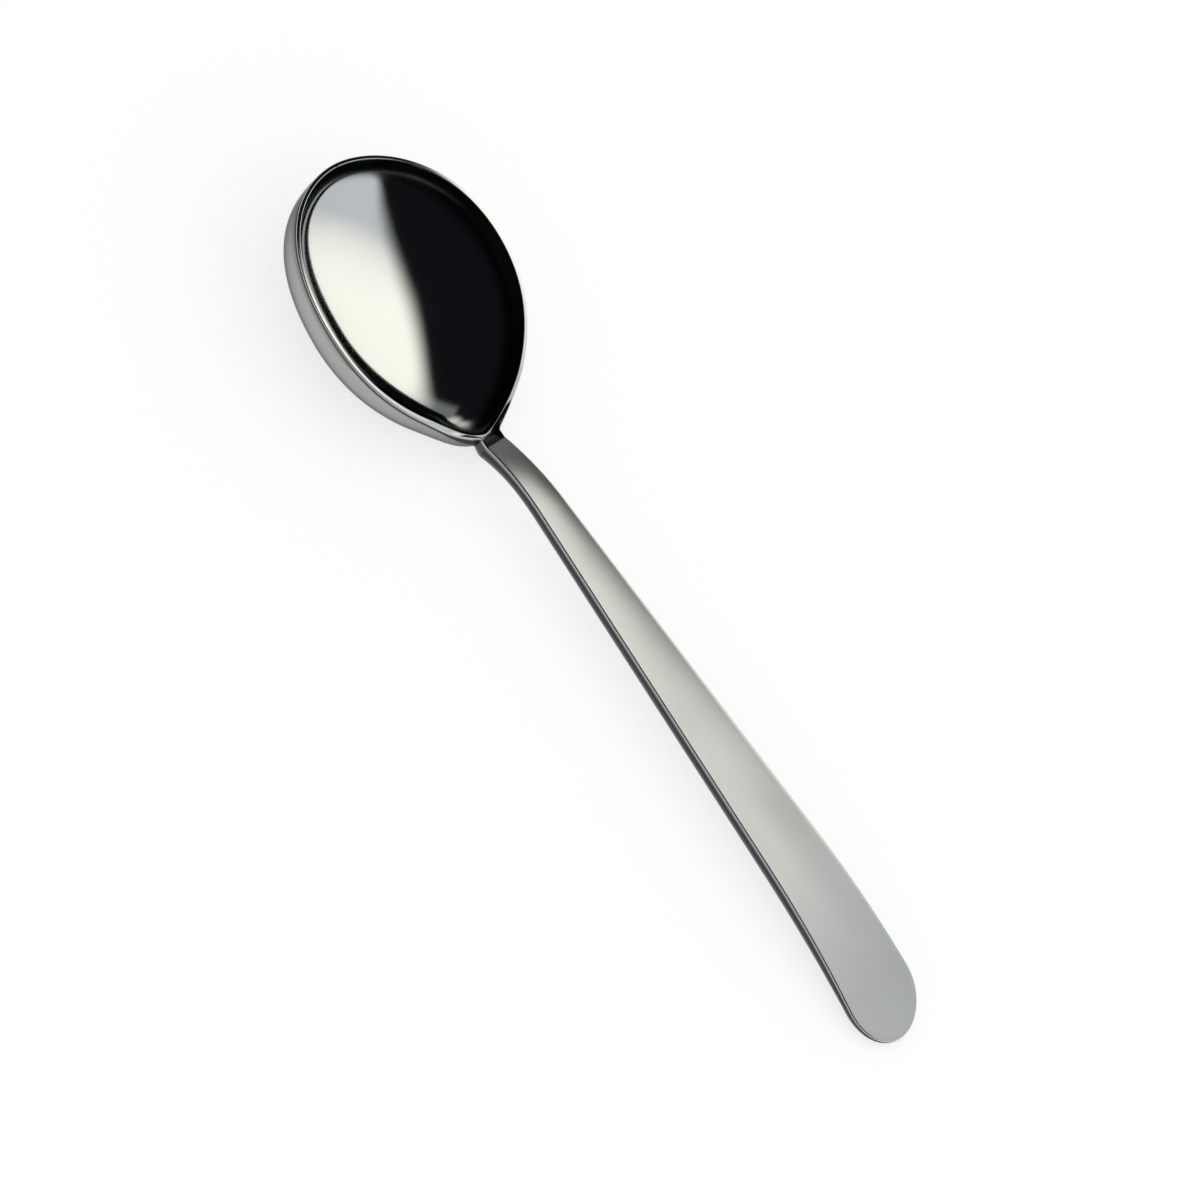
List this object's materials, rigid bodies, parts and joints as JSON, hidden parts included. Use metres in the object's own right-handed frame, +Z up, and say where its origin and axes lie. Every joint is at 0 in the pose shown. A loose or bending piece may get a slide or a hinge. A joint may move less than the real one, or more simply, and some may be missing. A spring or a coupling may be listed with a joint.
{
  "type": "serving spoon",
  "caption": "Stainless steel serving spoon: a broad, egg-shaped bowl with a thin flat rim, a narrow neck and a plain tapering handle with a round end, for scooping and serving food.",
  "frame": {"origin": "middle of the spoon's length and width, on the surface that it lies on", "axes": "+X along the spoon from the bowl to the end of the handle, +Y across it, +Z up out of the open bowl"},
  "size_m": [0.23, 0.061, 0.0181],
  "materials": {
    "polished_steel": "mirror polished",
    "satin_steel": "satin, grained along the handle"
  },
  "bodies": {
    "root": {"bowl": "polished_steel", "handle": "satin_steel"}
  },
  "joints": []
}
